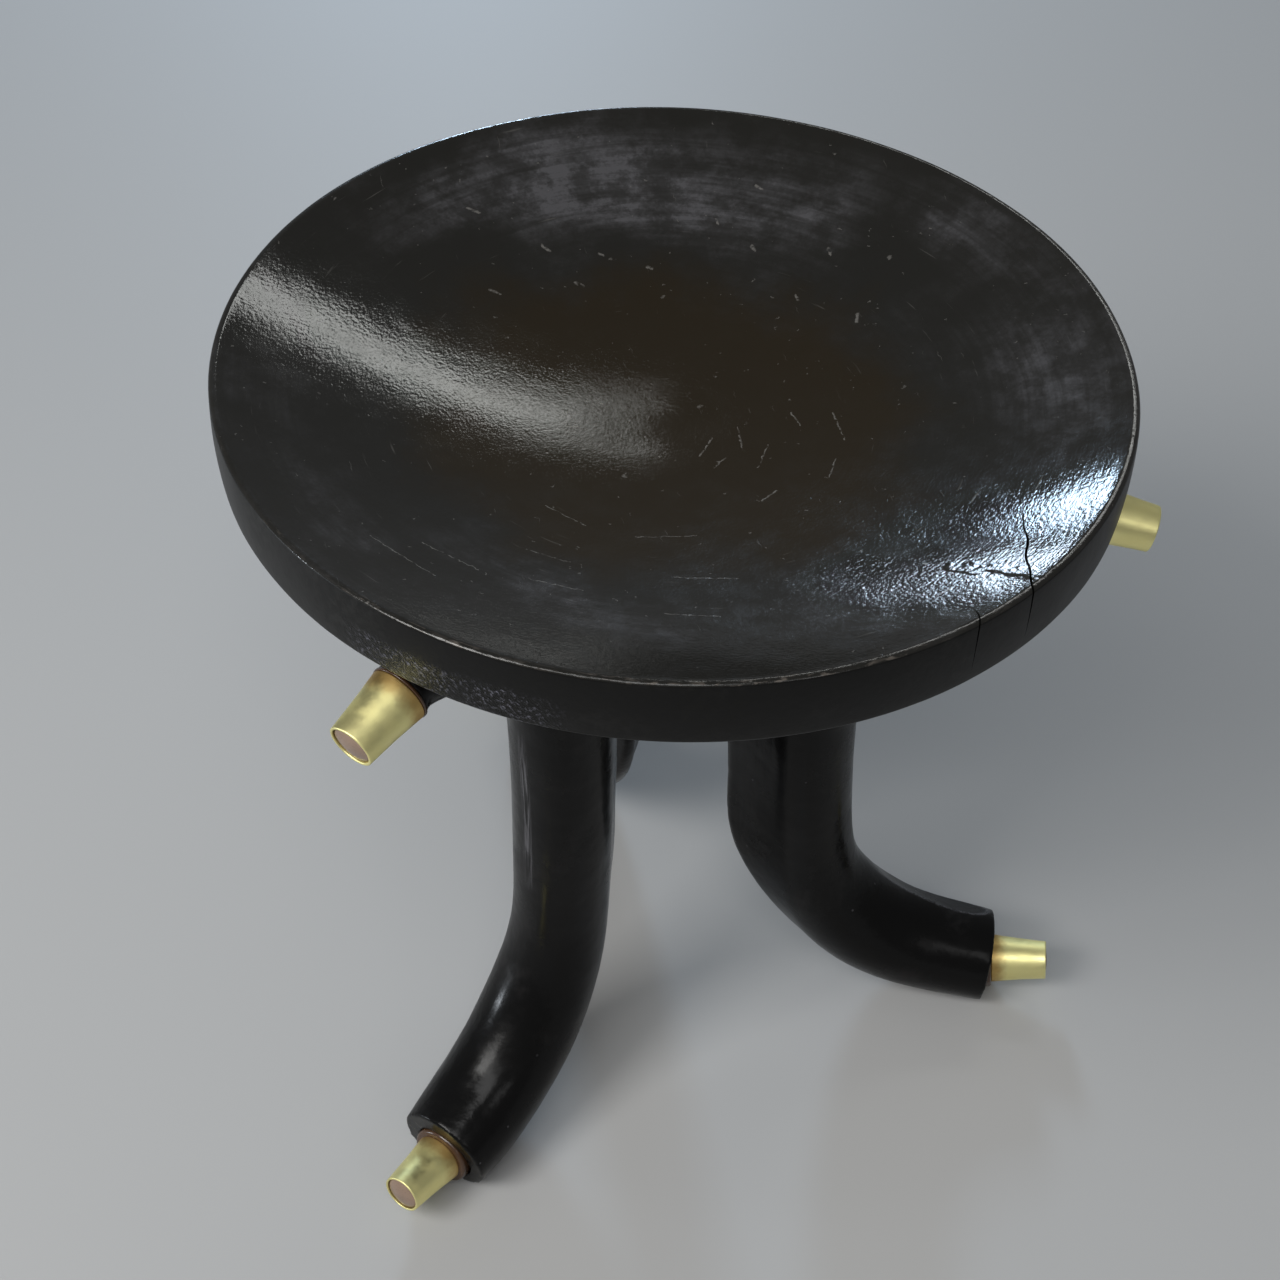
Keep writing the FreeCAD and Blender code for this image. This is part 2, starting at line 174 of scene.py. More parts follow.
class Graph:
    """A shader or geometry tree that is written as expressions."""

    def __init__(self, tree: bpy.types.NodeTree) -> None:
        """Keep the tree."""
        self.tree = tree

    def node(self, kind: str, settings: dict | None = None, inputs: dict | None = None) -> bpy.types.Node:
        """Add a node.

        Args:
            kind: The node's type.
            settings: Its properties, which are set first.
            inputs: Values or links of its sockets, by name or number.

        Returns:
            The new node.
        """
        node = self.tree.nodes.new(kind)
        for name, value in (settings or {}).items():
            setattr(node, name, value)
        for key, value in (inputs or {}).items():
            self.feed(node.inputs[key], value)
        return node

    def feed(self, socket: bpy.types.NodeSocket, value: object) -> None:
        """Link a value to a socket, or set it where it is a plain number, colour or vector.

        Args:
            socket: The socket.
            value: What it gets.
        """
        if isinstance(value, Value):
            self.tree.links.new(value.socket, socket)
        elif isinstance(value, bpy.types.NodeSocket):
            self.tree.links.new(value, socket)
        else:
            socket.default_value = value

    def math(self, operation: str, *operands: Operand) -> Value:
        """A Math node of one operation on its operands."""
        node = self.node("ShaderNodeMath", {"operation": operation}, dict(enumerate(operands)))
        return Value(self, node.outputs[0])

    def split(self, vector: bpy.types.NodeSocket) -> tuple[Value, Value, Value]:
        """The three numbers of a vector."""
        node = self.node("ShaderNodeSeparateXYZ", None, {"Vector": vector})
        return tuple(Value(self, node.outputs[axis]) for axis in "XYZ")

    def join(self, x: Operand, y: Operand, z: Operand) -> bpy.types.NodeSocket:
        """A vector of three numbers."""
        return self.node("ShaderNodeCombineXYZ", None, {"X": x, "Y": y, "Z": z}).outputs["Vector"]

    def noise(self, at: Link, scale: float = 1.0, detail: float = 2.0, rough: float = 0.5) -> Value:
        """Smooth noise, mostly from 0.25 to 0.75.

        Args:
            at: Place in the pattern.
            scale: Lumps per metre.
            detail: Layers of finer lumps.
            rough: Share that each finer layer keeps.

        Returns:
            The noise.
        """
        node = self.node(
            "ShaderNodeTexNoise", None, {"Vector": at, "Scale": scale, "Detail": detail, "Roughness": rough}
        )
        return Value(self, node.outputs[0])

    def specks(self, at: Link, scale: float, size: float, share: float) -> Value:
        """Scattered small dots.

        Args:
            at: Place in the pattern.
            scale: Cells per metre, each with one dot at most.
            size: Radius of a dot, as a share of a cell.
            share: Share of the cells that hold a dot.

        Returns:
            1 in the middle of a dot and 0 outside.
        """
        cells = self.node("ShaderNodeTexVoronoi", None, {"Vector": at, "Scale": scale})
        near = Value(self, cells.outputs["Distance"]).ramp(size, size * 0.4)
        red = self.node("ShaderNodeSeparateColor", None, {"Color": cells.outputs["Color"]}).outputs[0]
        return near * Value(self, red).ramp(1 - share, 1 - share + 0.02)

    def blend(self, share: Operand, first: object, second: object) -> bpy.types.NodeSocket:
        """A colour between two colours.

        Args:
            share: 0 for the first colour, 1 for the second.
            first: A colour or a link.
            second: A colour or a link.

        Returns:
            The mixed colour.
        """
        node = self.node("ShaderNodeMix", {"data_type": "RGBA"}, {0: share})
        self.feed(node.inputs[6], solid(first))
        self.feed(node.inputs[7], solid(second))
        return node.outputs[2]


def solid(colour: object) -> object:
    """A plain colour with its alpha, or the link as it is."""
    return (*colour, 1.0) if isinstance(colour, tuple) else colour


class Shader(Graph):
    """The tree of one material, with its Principled shader at hand."""

    def __init__(self, name: str) -> None:
        """Make a material of this name with one Principled shader.

        Args:
            name: The material's name.
        """
        self.material = bpy.data.materials.new(name)
        self.material.use_nodes = True
        super().__init__(self.material.node_tree)
        self.surface = self.tree.nodes["Principled BSDF"]
        self.place = self.node("ShaderNodeTexCoord").outputs["Object"]

    def attribute(self, name: str) -> Value:
        """A number that the mesh holds at each point."""
        return Value(self, self.node("ShaderNodeAttribute", {"attribute_name": name}).outputs["Fac"])

    def dress(self, **sockets: object) -> bpy.types.Material:
        """Set or link sockets of the shader.

        Args:
            sockets: Values by socket name, with underscores for spaces.

        Returns:
            The finished material.
        """
        for name, value in sockets.items():
            self.feed(self.surface.inputs[name.replace("_", " ")], solid(value))
        return self.material

    def relief(self, height: Value) -> bpy.types.NodeSocket:
        """A normal from a height in metres."""
        node = self.node("ShaderNodeBump", None, {"Strength": 1.0, "Distance": 1.0, "Height": height})
        return node.outputs["Normal"]


@dataclass(frozen=True)
class Scratch:
    """One fine scratch in the dish, from one place to another, seen from above."""

    start: tuple[float, float]
    end: tuple[float, float]
    width: float
    core: float = 0.3

    def mask(self, x: Value, y: Value) -> Value:
        """How much of the scratch is at a place.

        Args:
            x: First coordinate of the place.
            y: Second coordinate of the place.

        Returns:
            1 in the scratch and 0 outside.
        """
        run = Vector(self.end) - Vector(self.start)
        along = ((x - self.start[0]) * run.x + (y - self.start[1]) * run.y) / run.length_squared
        along = along.at_least(0.0).at_most(1.0)
        gap_x = x - self.start[0] - along * run.x
        gap_y = y - self.start[1] - along * run.y
        return (gap_x * gap_x + gap_y * gap_y).root().ramp(self.width, self.width * self.core)


# The small wander of the grain: how far each wave reaches, and its radians for each metre.
GRAIN_WAVES = ((0.9 * MM, 95), (0.45 * MM, 290))


@dataclass(frozen=True)
class Crack:
    """A drying crack, which follows the upright grain plane at one x towards the front of the seat."""

    x: float
    start_y: float
    drift: float
    width: float
    depth: float

    def path(self, y: float) -> float:
        """Where the crack stands, with the small wander of the grain.

        Args:
            y: Place along the crack.

        Returns:
            Its x there.
        """
        run = self.start_y - y
        wander = sum(reach * math.sin(pace * run) for reach, pace in GRAIN_WAVES)
        return self.x + self.drift * run + wander


CRACKS = (
    Crack(x=0.1430, start_y=-0.056, drift=0.07, width=0.9 * MM, depth=3.0 * MM),
    Crack(x=0.1255, start_y=-0.128, drift=0.15, width=0.6 * MM, depth=2.0 * MM),
)

# A broad shallow dent beside the first crack.
CREASE = Scratch(mm(118, -96), mm(153, -109), 3.8 * MM)


@dataclass(frozen=True)
class Scuffs:
    """Scratches of one kind, scattered over a sector of the dish.

    Each pair is the least and the most. Angles are in degrees, and lean is measured from the radius.
    """

    count: int
    seed: int
    sector: tuple[float, float]
    out: tuple[float, float]
    long: tuple[float, float]
    wide: tuple[float, float]
    lean: tuple[float, float]

    def scatter(self) -> list[Scratch]:
        """Scatter the scratches, in the same places in each run.

        Returns:
            The scratches.
        """
        draw = random.Random(self.seed)
        found = []
        for _ in range(self.count):
            around = math.radians(draw.uniform(*self.sector))
            middle = Vector((math.cos(around), math.sin(around))) * draw.uniform(*self.out)
            way = around + math.radians(draw.uniform(*self.lean))
            half = Vector((math.cos(way), math.sin(way))) * draw.uniform(*self.long) / 2
            found.append(Scratch(tuple(middle - half), tuple(middle + half), draw.uniform(*self.wide)))
        return found


DRAGS = Scuffs(
    count=8, seed=176, sector=(-45, 45), out=mm(15, 75), long=mm(8, 22), wide=mm(0.35, 0.45), lean=(-90, -60)
)
NICKS = Scuffs(
    count=12, seed=73, sector=(30, 150), out=mm(95, 160), long=mm(2, 6), wide=mm(0.8, 1.1), lean=(20, 70)
)
LINES = Scuffs(
    count=8, seed=67, sector=(235, 285), out=mm(75, 155), long=mm(18, 36), wide=mm(0.28, 0.38), lean=(80, 100)
)


@dataclass(frozen=True)
class Bloom:
    """A soft grey bloom, partly scuffed lacquer and partly painted sheen: an oval that lies along the rim,
    seen from above.
    """

    around: float
    out: float
    long: float
    wide: float
    strength: float

    def mask(self, x: Value, y: Value) -> Value:
        """How much of the bloom is at a place.

        Args:
            x: First coordinate of the place.
            y: Second coordinate of the place.

        Returns:
            The bloom's strength in its middle and 0 outside.
        """
        turn = math.radians(self.around)
        along = (y * math.cos(turn) - x * math.sin(turn)) / self.long
        aside = (x * math.cos(turn) + y * math.sin(turn) - self.out) / self.wide
        return (along * along + aside * aside).root().ramp(1.0, 0.1) * self.strength


# Blooms of scuffed lacquer and painted sheen.
# Degrees round the seat, then distance out, half length and half width in millimetres, then strength.
BLOOMS = (
    Bloom(10, *mm(155, 85, 40), 0.7),
    Bloom(45, *mm(170, 50, 25), 1.6),
    Bloom(90, *mm(145, 110, 40), 1.5),
    Bloom(120, *mm(155, 75, 35), 1.3),
    Bloom(145, *mm(160, 50, 25), 0.7),
    Bloom(225, *mm(160, 40, 20), 0.7),
    Bloom(250, *mm(125, 60, 20), 0.6),
    Bloom(265, *mm(145, 85, 20), 0.5),
)


class SeatPlace:
    """Where a point of the seat is, as numbers that its two finishes share."""

    def __init__(self, g: Shader) -> None:
        """Work out the numbers in a material's tree.

        Args:
            g: The material's tree.
        """
        self.x, self.y, self.z = g.split(g.place)
        self.radius = (self.x * self.x + self.y * self.y).root().at_least(0.1 * MM)
        self.across = self.x / self.radius
        self.aside = self.y / self.radius

    def arcs(self, g: Shader, pitch: float, run: float, detail: float = 2.0, rough: float = 0.5) -> Value:
        """Noise drawn out round the seat's middle.

        Args:
            g: The material's tree.
            pitch: Distance between streaks.
            run: Angle that a streak runs round, in radians.
            detail: Layers of finer streaks.
            rough: Share that each finer layer keeps.

        Returns:
            The noise.
        """
        at = g.join(self.radius / pitch, self.across / run, self.aside / run)
        return g.noise(at, detail=detail, rough=rough)


@dataclass(frozen=True)
class DishFinish:
    """Old dark lacquer: brown in the worn middle of the dish, scratched towards the rim, and grey there with
    haze that is partly scuffed lacquer and partly painted sheen.
    """

    heart: Colour = (0.0128, 0.0086, 0.0034)
    outer: Colour = (0.0096, 0.0091, 0.0076)
    # Grey of the blooms: partly scuffed lacquer, partly painted sheen.
    haze_and_sheen: Colour = (0.0600, 0.0590, 0.0630)
    pale: Colour = (0.2200, 0.2100, 0.1950)
    worn_lip: Colour = (0.0850, 0.0740, 0.0640)
    brown_middle: tuple[float, float] = mm(50, 150)
    calm_middle: tuple[float, float] = mm(4, 30)
    dash_start: tuple[float, float] = mm(60, 110)

    def material(self) -> bpy.types.Material:
        """Make the lacquer.

        Returns:
            The material.
        """
        g = Shader("dish_lacquer")
        at = SeatPlace(g)
        lip = g.attribute("lip")
        patches = g.noise(g.place, 13.0, 5.0, 0.62)
        mottle = g.noise(g.place, 62.0, 5.0, 0.68).ramp(0.38, 0.64)
        rings = at.arcs(g, 3.3 * MM, 0.42, 4.0, 0.6)
        strokes = at.arcs(g, 0.95 * MM, 0.016, 2.0)
        grit = g.noise(g.place, 600.0, 2.0)

        edge = at.radius.ramp(*self.brown_middle)
        # Haze of scuffed lacquer and painted sheen, stronger towards the rim.
        haze_and_sheen = self.bloom(g, at, patches, edge) * (0.35 + rings.ramp(0.30, 0.68) * 0.65)
        haze_and_sheen = haze_and_sheen * (0.25 + mottle * 0.75) * (0.5 + grit)
        tint = (edge + (patches - 0.5) * 1.4).ramp(0.20, 0.80)
        colour = g.blend(tint, self.heart, self.outer)
        colour = g.blend(haze_and_sheen.at_most(1.0), colour, self.haze_and_sheen)
        marks = self.marks(g, at)
        colour = g.blend(marks, colour, self.pale)
        chips = g.noise(g.join(at.across * 30, at.aside * 30, at.radius * 900), detail=4.0, rough=0.6)
        runs = 0.30 + g.noise(g.place, 45.0, 3.0, 0.6).ramp(0.44, 0.60)
        wear = lip * chips.ramp(0.50, 0.64) * (0.08 + at.aside.ramp(-0.60, -0.97) * 0.80) * runs
        colour = g.blend(wear.at_most(1.0), colour, self.worn_lip)

        rough = 0.068 + haze_and_sheen * 0.04 + mottle * 0.04 + marks * 0.15 + lip * 0.10
        calm = at.radius.ramp(*self.calm_middle)
        fine = ((strokes - 0.5) * 0.050 + (rings - 0.5) * 0.035) * calm + (grit - 0.5) * 0.042
        sway = (g.noise(g.place, 110.0, 2.0) - 0.5) * (9.0 * MM)
        crease = CREASE.mask(at.x + sway, at.y + sway)
        height = (fine - marks * 0.02 - crease * 0.12 + lip * (chips - 0.5) * 0.15) * MM
        return g.dress(Base_Color=colour, Roughness=rough, Normal=g.relief(height), Specular_IOR_Level=0.35)

    def bloom(self, g: Shader, at: SeatPlace, patches: Value, edge: Value) -> Value:
        """Grey blooms, partly scuffed lacquer and partly painted sheen: those that are placed, and others
        scattered towards the rim.

        Args:
            g: The material's tree.
            at: The place on the seat.
            patches: Broad noise that breaks the blooms up.
            edge: 0 in the brown middle and 1 towards the rim.

        Returns:
            0 where there is none, and about 1 in a strong one.
        """
        total = patches.ramp(0.45, 0.72) * edge * 0.3
        wander = (g.noise(g.place, 40.0, 3.0) - 0.5) * 0.030
        for one in BLOOMS:
            mask = one.mask(at.x + wander, at.y - wander)
            total = total + mask * (0.35 + patches.ramp(0.35, 0.65) * 0.65)
        return total

    def drawn(self, x: Value, y: Value) -> Value:
        """How much of any of the scratches is at a place, from 0 to 1."""
        masks = [line.mask(x, y) for scuffs in (DRAGS, NICKS, LINES) for line in scuffs.scatter()]
        return functools.reduce(Value.at_least, masks)

    def marks(self, g: Shader, at: SeatPlace) -> Value:
        """Scratches, specks and streaks of the dish.

        Args:
            g: The material's tree.
            at: The place on the seat.

        Returns:
            0 where there is none, and up to 1 in a mark.
        """
        broken = g.noise(g.place, 420.0, 3.0).ramp(0.34, 0.60)
        shaken = g.node("ShaderNodeTexNoise", None, {"Vector": g.place, "Scale": 420.0, "Detail": 2.0})
        shift = g.split(shaken.outputs["Color"])
        x = at.x + (shift[0] - 0.5) * (2.2 * MM)
        y = at.y + (shift[1] - 0.5) * (2.2 * MM)
        total = self.drawn(x, y)
        shaken = g.node(
            "ShaderNodeVectorMath",
            {"operation": "MULTIPLY_ADD"},
            {0: shaken.outputs["Color"], 1: (0.005, 0.005, 0.005), 2: g.place},
        ).outputs[0]
        dust = g.specks(shaken, 300.0, 0.20, 0.09) * 0.28
        dents = g.specks(shaken, 80.0, 0.11, 0.12) * 0.30
        hairs = g.noise(g.join(x * 1300 + y * 500, y * 40 - x * 104, at.radius), detail=0.0)
        hairs = hairs.ramp(0.84, 0.90)
        dashes = at.arcs(g, 2.0 * MM, 0.20, 2.0).ramp(0.70, 0.80) * at.radius.ramp(*self.dash_start)
        faint = (hairs * 0.16).at_least(dashes * 0.16)
        return (total * broken * 0.42).at_least(dust).at_least(dents).at_least(faint)


@dataclass(frozen=True)
class BandFinish:
    """Dull black on the band and the underside, with one place still rough from the rasp, whose cuts are
    painted pale as glints.
    """

    dull: Colour = (0.0042, 0.0041, 0.0039)
    rubbed: Colour = (0.0140, 0.0136, 0.0130)
    # Pale bluish colour on the rasp's cuts: painted glints.
    painted_glints: Colour = (0.1400, 0.1400, 0.1700)
    rasped_turn: float = -108.0
    rasped_sides: tuple[float, float] = (15.0, 6.0)
    rasped_top: float = 396.0 * MM

    def material(self) -> bpy.types.Material:
        """Make the lacquer.

        Returns:
            The material.
        """
        g = Shader("band_lacquer")
        at = SeatPlace(g)
        clouds = g.noise(g.place, 26.0, 4.0, 0.6)
        pits = g.noise(g.place, 260.0, 3.0, 0.6)
        turn = math.radians(self.rasped_turn)
        facing = at.across * math.cos(turn) + at.aside * math.sin(turn)
        rasp = facing.ramp(*(math.cos(math.radians(side)) for side in self.rasped_sides))
        rasp = rasp * at.z.ramp(self.rasped_top, self.rasped_top - 6 * MM) * clouds.ramp(0.32, 0.55)
        along = at.y * math.cos(turn) - at.x * math.sin(turn)
        cuts = g.noise(g.join((along + at.z) * 560, (along - at.z) * 330, at.radius), detail=4.0, rough=0.7)
        colour = g.blend(clouds.ramp(0.40, 0.75) * pits.ramp(0.40, 0.65), self.dull, self.rubbed)
        # Painted glints on the rasp's cuts.
        colour = g.blend(rasp * cuts.ramp(0.52, 0.66), colour, self.painted_glints)
        rough = 0.42 + (clouds - 0.5) * 0.25 - rasp * 0.12
        height = ((pits - 0.5) * 0.09 + (clouds - 0.5) * 0.2 + (cuts - 0.5) * rasp * 1.3) * MM
        return g.dress(Base_Color=colour, Roughness=rough, Normal=g.relief(height), Specular_IOR_Level=0.16)


@dataclass(frozen=True)
class LegFinish:
    """Smooth black lacquer on the legs, with faint scuffs, dust specks, marks of the spokeshave along the
    limb, and painted highlight streaks.
    """

    deep: Colour = (0.0034, 0.0033, 0.0033)
    scuffed: Colour = (0.0180, 0.0165, 0.0168)
    # Pale colour of the dust specks and of the painted highlight streaks.
    rubbed: Colour = (0.0900, 0.0880, 0.0950)

    def material(self) -> bpy.types.Material:
        """Make the lacquer.

        Returns:
            The material.
        """
        g = Shader("leg_lacquer")
        x, y, z = g.split(g.place)
        clouds = g.noise(g.place, 22.0, 4.0, 0.6)
        shaved = g.noise(g.join(x * 240, y * 240, z * 34), detail=2.0)
        grit = g.noise(g.place, 700.0, 1.0)
        scuff = clouds.ramp(0.50, 0.72) * shaved.ramp(0.35, 0.70)
        dust = g.specks(g.place, 190.0, 0.16, 0.05)
        colour = g.blend(scuff * 0.7, self.deep, self.scuffed)
        colour = g.blend(dust * 0.5, colour, self.rubbed)
        drawn = g.noise(g.join(x * 1100, y * 1100, z * 45), detail=1.0).ramp(0.36, 0.62)
        # Painted highlight: pale streaks where the mesh marks them.
        painted_highlight = g.attribute("painted_highlight") * drawn
        colour = g.blend(painted_highlight, colour, self.rubbed)
        rough = 0.20 + clouds.ramp(0.35, 0.75) * 0.16 + scuff * 0.1
        height = ((shaved - 0.5) * 0.09 + (grit - 0.5) * 0.03) * MM
        return g.dress(Base_Color=colour, Roughness=rough, Normal=g.relief(height), Specular_IOR_Level=0.14)


@dataclass(frozen=True)
class BrassFinish:
    """Polished brass, gone orange where the peg's collar keeps the cloth away."""

    bright: Colour = (0.92, 0.85, 0.40)
    tarnish: Colour = (0.42, 0.23, 0.06)

    def material(self) -> bpy.types.Material:
        """Make the metal.

        Returns:
            The material.
        """
        g = Shader("ferrule_brass")
        along = g.attribute("along")
        clouds = g.noise(g.place, 90.0, 3.0, 0.6)
        rubbed = g.noise(g.place, 900.0, 2.0)
        stain = (along.ramp(0.45, 0.0) * 0.8 + (clouds - 0.5) * 0.9).ramp(0.10, 0.85)
        colour = g.blend(stain * 0.8, self.bright, self.tarnish)
        worn = g.noise(g.place, 130.0, 2.0).ramp(0.35, 0.65)
        rough = 0.38 + worn * 0.12 + stain * 0.08 + (rubbed - 0.5) * 0.08
        height = ((rubbed - 0.5) * 0.004 + (clouds - 0.5) * 0.09) * MM
        return g.dress(Base_Color=colour, Metallic=1.0, Roughness=rough, Normal=g.relief(height))


@dataclass(frozen=True)
class PegFinish:
    """Varnished brown wood: dark on the collar, paler on the worn end that shows inside the ferrule."""

    collar: Colour = (0.055, 0.027, 0.013)
    end: Colour = (0.250, 0.172, 0.126)
    pore: Colour = (0.050, 0.028, 0.018)

    def material(self) -> bpy.types.Material:
        """Make the wood.

        Returns:
            The material.
        """
        g = Shader("peg_varnish")
        along = g.attribute("along")
        pores = g.noise(g.place, 1100.0, 3.0, 0.6)
        clouds = g.noise(g.place, 160.0, 2.0)
        worn = along.ramp(0.86, 0.92) * (0.6 + clouds * 0.7)
        colour = g.blend(worn.at_most(1.0), self.collar, self.end)
        colour = g.blend(pores.ramp(0.55, 0.70) * 0.35, colour, self.pore)
        rough = 0.20 + worn * 0.08 + pores * 0.08
        height = (pores - 0.5) * 0.02 * MM
        return g.dress(Base_Color=colour, Roughness=rough, Normal=g.relief(height))


@dataclass(frozen=True)
class FloorFinish:
    """A plain pale floor."""

    colour: Colour = (0.40, 0.40, 0.398)

    def material(self) -> bpy.types.Material:
        """The floor as a material."""
        return Shader("pale_floor").dress(Base_Color=self.colour, Roughness=0.6, Specular_IOR_Level=0.3)


class Tool:
    """A geometry tree that works on a blank, with named inputs."""

    def __init__(self, name: str, inputs: dict[str, str]) -> None:
        """Make the tree.

        Args:
            name: Name of the tree.
            inputs: Socket types of its inputs, by name.
        """
        tree = bpy.data.node_groups.new(name, "GeometryNodeTree")
        tree.interface.new_socket("Blank", in_out="INPUT", socket_type="NodeSocketGeometry")
        tree.interface.new_socket("Piece", in_out="OUTPUT", socket_type="NodeSocketGeometry")
        for label, kind in inputs.items():
            tree.interface.new_socket(label, in_out="INPUT", socket_type=kind)
        self.tree = tree
        self.graph = Graph(tree)
        self.given = self.graph.node("NodeGroupInput").outputs
        self.at = self.graph.node("GeometryNodeInputPosition").outputs[0]

    def number(self, label: str) -> Value:
        """A number that is given to the tree."""
        return Value(self.graph, self.given[label])

    def moved(self, mesh: bpy.types.NodeSocket, **place: object) -> bpy.types.NodeSocket:
        """A mesh whose points go to a Position or move by an Offset."""
        return self.graph.node("GeometryNodeSetPosition", None, {"Geometry": mesh, **place}).outputs[0]

    def shaved(self, mesh: bpy.types.NodeSocket) -> bpy.types.NodeSocket:
        """Make broad and fine cuts along a mesh's normals, as the inputs say.

        Args:
            mesh: The mesh.

        Returns:
            The cut mesh.
        """
        g = self.graph
        shift = g.node("ShaderNodeVectorMath", {"operation": "ADD"}, {0: self.at, 1: self.given["Shift"]})
        broad = g.noise(shift.outputs[0], detail=1.0)
        fine = g.noise(shift.outputs[0], detail=2.0)
        for noise, size in ((broad, "Broad Size"), (fine, "Fine Size")):
            g.feed(noise.socket.node.inputs["Scale"], 1 / self.number(size))
        cut = (broad - 0.5) * self.number("Broad Cut") + (fine - 0.5) * self.number("Fine Cut")
        normal = g.node("GeometryNodeInputNormal").outputs[0]
        offset = g.node("ShaderNodeVectorMath", {"operation": "SCALE"}, {0: normal, "Scale": cut})
        return self.moved(mesh, Offset=offset.outputs[0])

    def finish(self, mesh: bpy.types.NodeSocket) -> None:
        """End the tree with smooth shading, real geometry and the material.

        Args:
            mesh: The mesh that the tree has made.
        """
        g = self.graph
        smooth = g.node("GeometryNodeSetShadeSmooth", None, {"Geometry": mesh}).outputs[0]
        real = g.node("GeometryNodeRealizeInstances", None, {"Geometry": smooth}).outputs[0]
        finish = {"Geometry": real, "Material": self.given["Material"]}
        dressed = g.node("GeometryNodeSetMaterial", None, finish)
        g.node("NodeGroupOutput", None, {"Piece": dressed.outputs[0]})

    def work(self, piece: bpy.types.Object, values: dict[str, object]) -> None:
        """Run the tree on an object and keep the result as its plain mesh.

        Args:
            piece: The object, whose mesh is the blank.
            values: The tree's inputs, by name.
        """
        modifier = piece.modifiers.new(self.tree.name, "NODES")
        modifier.node_group = self.tree
        for item in self.tree.interface.items_tree:
            if item.in_out == "INPUT" and item.name in values:
                modifier[item.identifier] = values[item.name]
        settle(piece)


def settle(piece: bpy.types.Object) -> None:
    """Keep the shape that an object's modifiers give, and remove them.

    Args:
        piece: The object.
    """
    graph = bpy.context.evaluated_depsgraph_get()
    mesh = bpy.data.meshes.new_from_object(piece.evaluated_get(graph))
    piece.modifiers.clear()
    piece.data = mesh


SHAVE_INPUTS = {
    "Broad Cut": "NodeSocketFloat",
    "Broad Size": "NodeSocketFloat",
    "Fine Cut": "NodeSocketFloat",
    "Fine Size": "NodeSocketFloat",
    "Shift": "NodeSocketVector",
    "Material": "NodeSocketMaterial",
}

# Distances from the seat's middle at which its tilt begins and is full.
TILT_RAMP = mm(30, 190)


@dataclass(frozen=True)
class Shaving:
    """How deep the broad and the fine cuts of a hand tool are, and how far apart."""

    broad: float
    broad_size: float
    fine: float
    fine_size: float

    def inputs(self, shift: tuple[float, float, float], material: bpy.types.Material) -> dict[str, object]:
        """What a tool is given for these cuts.

        Args:
            shift: Where in the noise the piece lies, so that no two pieces are alike.
            material: The piece's finish.

        Returns:
            The tool's inputs by name.
        """
        return {
            "Broad Cut": self.broad,
            "Broad Size": self.broad_size,
            "Fine Cut": self.fine,
            "Fine Size": self.fine_size,
            "Shift": shift,
            "Material": material,
        }


SEAT_CUTS = Shaving(*mm(0.9, 85, 0.12, 15))
LEG_CUTS = Shaving(*mm(0.8, 38, 0.3, 9))
TIP_CUTS = Shaving(*mm(0.35, 16, 0.06, 4))


class Lathe(Tool):
    """Rolls up an unrolled blank, whose points hold radius, angle and height, and shaves it a little."""

    def __init__(self) -> None:
        """Build the tree."""
        super().__init__("lathe", {**SHAVE_INPUTS, "Tilt": "NodeSocketFloat"})
        g = self.graph
        radius, angle, height = g.split(self.at)
        across = radius * angle.cosine()
        lean = across * self.number("Tilt") * radius.ramp(*TILT_RAMP)
        rolled = self.moved(
            self.given["Blank"], Position=g.join(across, radius * angle.sine(), height + lean)
        )
        closed = g.node("GeometryNodeMergeByDistance", None, {"Geometry": rolled, "Distance": SEAM_GAP})
        self.finish(self.shaved(closed.outputs[0]))


class Spokeshave(Tool):
    """Shaves a carved blank by hand."""

    def __init__(self) -> None:
        """Build the tree."""
        super().__init__("spokeshave", SHAVE_INPUTS)
        self.finish(self.shaved(self.given["Blank"]))


@dataclass
class Bench:
    """The two tools that every piece of the stool shares."""

    lathe: Lathe
    shave: Spokeshave


Profile = list[tuple[float, float]]


def rounded(before: Vector, corner: Vector, after: Vector, radius: float, steps: int) -> Profile:
    """Points of a rounding between two straight runs.

    Args:
        before: A point on the first run.
        corner: Where the runs meet.
        after: A point on the second run.
        radius: Radius of the rounding.
        steps: Number of pieces that it is made of.

    Returns:
        The points, as radius and height.
    """
    back = (before - corner).normalized()
    ahead = (after - corner).normalized()
    half = back.angle(ahead) / 2
    reach = radius / math.tan(half)
    centre = corner + (back + ahead).normalized() * (radius / math.sin(half))
    first = corner + back * reach - centre
    last = corner + ahead * reach - centre
    points = []
    for step in range(steps + 1):
        share = step / steps
        spoke = first.lerp(last, share).normalized() * radius
        points.append(tuple(centre + spoke))
    return points


def placed(name: str, data: bpy.types.ID) -> bpy.types.Object:
    """Put a new object into the scene.

    Args:
        name: Its name.
        data: Its mesh, lamp or camera.

    Returns:
        The object, at the origin.
    """
    thing = bpy.data.objects.new(name, data)
    bpy.context.scene.collection.objects.link(thing)
    return thing


def mark(mesh: bpy.types.Mesh, label: str, numbers: np.ndarray) -> None:
    """Keep a number at each point of a mesh, under a name."""
    layer = mesh.attributes.new(label, "FLOAT", "POINT")
    layer.data.foreach_set("value", numbers.astype(np.float32))


